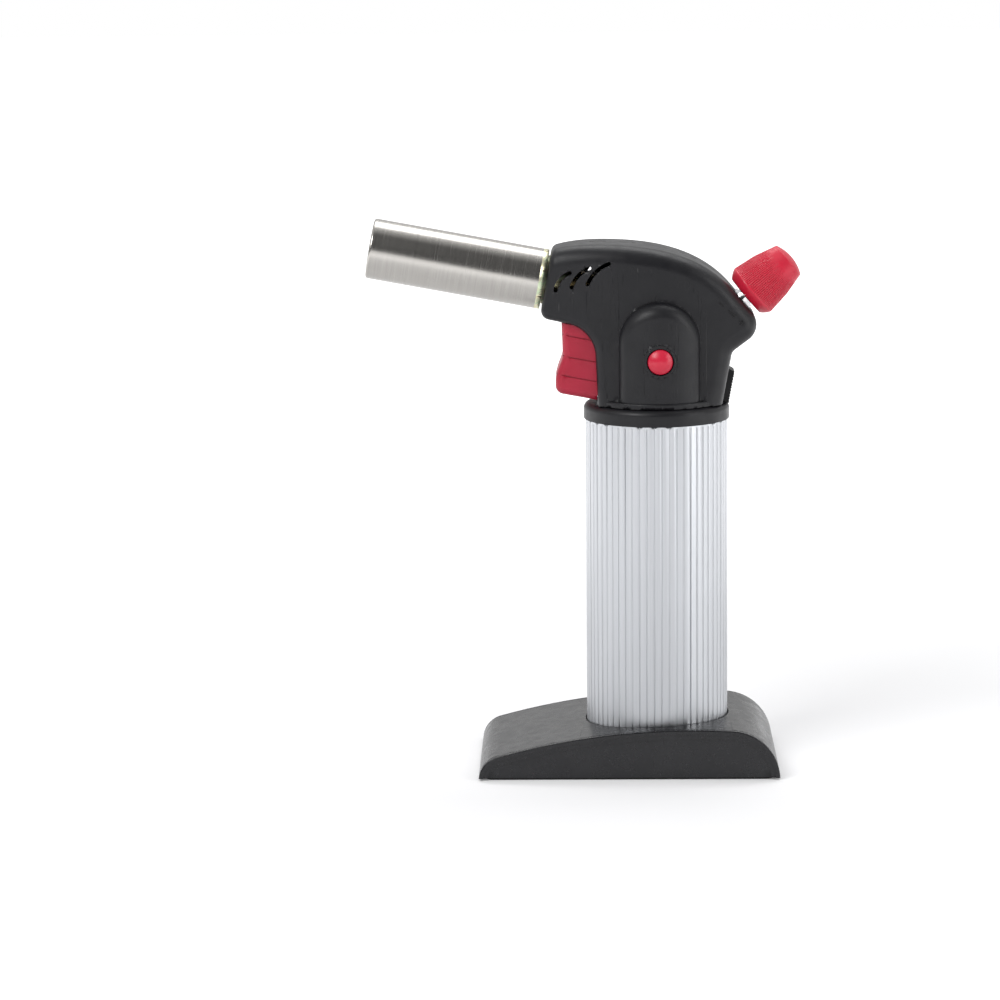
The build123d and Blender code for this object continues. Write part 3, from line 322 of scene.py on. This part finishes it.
def set_on_wall(mark, wall, at):
    """Thickens a mark and sets it half into the head's wall, along the edge of the knob's face."""
    bpy.ops.object.mode_set(mode="OBJECT")
    apply_modifier(mark, "SOLIDIFY", thickness=MARK_T, offset=0)
    apply_modifier(mark, "BEVEL", width=MARK_EDGE, segments=2)
    spot, outward, _, _ = wall.ray_cast(Vector((at[0], -0.1, at[1])), Vector((0, 1, 0)))
    down = Vector((MORE_AT[0] - LESS_AT[0], 0, MORE_AT[1] - LESS_AT[1]))
    across = outward.cross(down).normalized()
    along = across.cross(outward)
    turn = Matrix((along, across, outward)).transposed().to_4x4()
    mark.matrix_world = Matrix.Translation(spot) @ turn
    only(mark)
    bpy.ops.object.transform_apply(location=True, rotation=True, scale=True)
    # The marks take the darkest black: its darker colour is painted shade, standing in for the shadow inside
    # engraved marks.
    mark.data.materials.append(FINISH["dark_plastic"])
    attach(mark, "torch")


def knob_marks():
    wall = head_wall()
    less = flat_mark("mark_less", MARK_L, BAR_W)
    set_on_wall(less, wall, LESS_AT)
    wedge = flat_mark("mark_wedge", WEDGE_L, WEDGE_W)
    choose(wedge, "VERT", lambda place: place.x < 0)
    bpy.ops.transform.resize(value=(1, WEDGE_THIN, 1))
    set_on_wall(wedge, wall, WEDGE_AT)
    more = flat_mark("mark_more", MARK_L, MARK_L)
    bpy.ops.mesh.subdivide(number_cuts=4)
    choose(more, "FACE", lambda place: min(abs(place.x), abs(place.y)) > 0.3 * MM)
    bpy.ops.mesh.delete(type="FACE")
    set_on_wall(more, wall, MORE_AT)


knob_marks()


# ---- room, light and camera ------------------------------------------------------------------------
# The floor's own glow is painted light: weak round the object, so the lamps' shadow shows, and rising to full
# white further out in place of lamp light.
PAINTED_GLOW_NEAR = 0.14      # the floor's painted glow round the object, kept low there so the lamps' shadow shows
PAINTED_GLOW_FAR = 1.0
PAINTED_GLOW_RINGS = (0.22, 0.75)      # where the one begins to pass into the other, and where it ends
ROOM_DARK = 0.096     # how bright the room in front of the object looks in its gloss
ROOM_BRIGHT = 0.8     # and the room behind it
ROOM_FILL = 0.4       # how strongly the room lights the object


def direct_rays(tree):
    """1 for what the camera sees, and for what shows in gloss or through glass."""
    rays = add_node(tree, "LightPath")
    highest = rays.outputs["Is Camera Ray"]
    for other in ("Is Glossy Ray", "Is Transmission Ray"):
        larger = add_node(tree, "Math", operation="MAXIMUM")
        tree.links.new(highest, larger.inputs[0])
        tree.links.new(rays.outputs[other], larger.inputs[1])
        highest = larger.outputs["Value"]
    return highest


def floor_with_painted_glow():
    """A white sweep that keeps a soft shadow: part of its brightness is a painted glow, low round the object
    and rising to full white far from it.
    """
    material, tree, shader = new_finish("floor with painted glow", 0.9, Specular_IOR_Level=0.0)
    shader.inputs["Base Color"].default_value = (0.80, 0.80, 0.81, 1)
    shader.inputs["Emission Color"].default_value = (1, 1, 1, 1)
    far_off = add_node(tree, "VectorMath", operation="LENGTH")
    tree.links.new(place(tree), far_off.inputs[0])
    # painted light: the floor's glow grows with distance from the object
    painted_glow = add_node(tree, "MapRange", interpolation_type="SMOOTHSTEP")
    painted_glow.inputs["From Min"].default_value, painted_glow.inputs["From Max"].default_value = PAINTED_GLOW_RINGS
    painted_glow.inputs["To Min"].default_value = PAINTED_GLOW_NEAR
    painted_glow.inputs["To Max"].default_value = PAINTED_GLOW_FAR
    tree.links.new(far_off.outputs["Value"], painted_glow.inputs["Value"])
    seen = add_node(tree, "Math", operation="MULTIPLY")
    tree.links.new(painted_glow.outputs["Result"], seen.inputs[0])
    tree.links.new(direct_rays(tree), seen.inputs[1])
    tree.links.new(seen.outputs["Value"], shader.inputs["Emission Strength"])
    return material


FLOOR_SIZE = 12.0


def floor():
    bpy.ops.object.select_all(action="DESELECT")
    bpy.ops.mesh.primitive_plane_add(size=FLOOR_SIZE, location=(0, 0, 0))
    made = bpy.context.object
    made.name = "floor"
    made.data.materials.append(floor_with_painted_glow())


def soft_light(name, at, towards, size, power):
    lamp = bpy.data.lights.new(name, "AREA")
    lamp.shape = "RECTANGLE"
    lamp.size, lamp.size_y = size
    lamp.energy = power
    made = bpy.data.objects.new(name, lamp)
    bpy.context.scene.collection.objects.link(made)
    made.location = at
    made.rotation_euler = (Vector(towards) - Vector(at)).to_track_quat("-Z", "Y").to_euler()


def studio():
    world = bpy.data.worlds.new("studio white")
    bpy.context.scene.world = world
    world.use_nodes = True
    tree = world.node_tree
    tree.nodes.clear()
    direction = add_node(tree, "TexCoord")
    parts = add_node(tree, "SeparateXYZ")
    tree.links.new(direction.outputs["Generated"], parts.inputs["Vector"])
    room = add_node(tree, "MapRange", interpolation_type="SMOOTHSTEP")
    room.inputs["From Min"].default_value = -0.55
    room.inputs["From Max"].default_value = 0.1
    room.inputs["To Min"].default_value = ROOM_DARK
    room.inputs["To Max"].default_value = ROOM_BRIGHT
    tree.links.new(parts.outputs["Y"], room.inputs["Value"])
    rays = add_node(tree, "LightPath")
    behind = add_node(tree, "Mix")
    tree.links.new(rays.outputs["Is Camera Ray"], behind.inputs["Factor"])
    tree.links.new(room.outputs["Result"], behind.inputs["A"])
    behind.inputs["B"].default_value = 1.0
    strength = add_node(tree, "Mix")
    tree.links.new(direct_rays(tree), strength.inputs["Factor"])
    strength.inputs["A"].default_value = ROOM_FILL
    tree.links.new(behind.outputs["Result"], strength.inputs["B"])
    back = add_node(tree, "Background")
    back.inputs["Color"].default_value = (1, 1, 1, 1)
    tree.links.new(strength.outputs["Result"], back.inputs["Strength"])
    out = add_node(tree, "OutputWorld")
    tree.links.new(back.outputs["Background"], out.inputs["Surface"])
    middle = (-0.02, 0, 0.11)
    soft_light("key", (-0.75, -0.8, 1.0), middle, (0.7, 0.7), 11)
    soft_light("side", (0.95, -0.5, 0.5), middle, (0.4, 0.9), 4)
    soft_light("top", (0.1, 0.5, 1.2), middle, (1.2, 0.6), 8)


CAMERA_AT = (-0.0260, -1.3033, 0.3304)
CAMERA_TURN = 1.418       # degrees to the left
CAMERA_DOWN = 10.055
CAMERA_ROLL = -0.578
LENS = 128.0


def camera():
    made = bpy.data.cameras.new("camera")
    made.lens = LENS
    made.sensor_width = 36.0
    made.clip_start = 0.05
    obj = bpy.data.objects.new("camera", made)
    bpy.context.scene.collection.objects.link(obj)
    obj.matrix_world = (
        Matrix.Translation(CAMERA_AT)
        @ Matrix.Rotation(radians(CAMERA_TURN), 4, "Z")
        @ Matrix.Rotation(radians(90 - CAMERA_DOWN), 4, "X")
        @ Matrix.Rotation(radians(CAMERA_ROLL), 4, "Z")
    )
    bpy.context.scene.camera = obj


floor()
studio()
camera()
bpy.context.scene.view_settings.view_transform = "Standard"
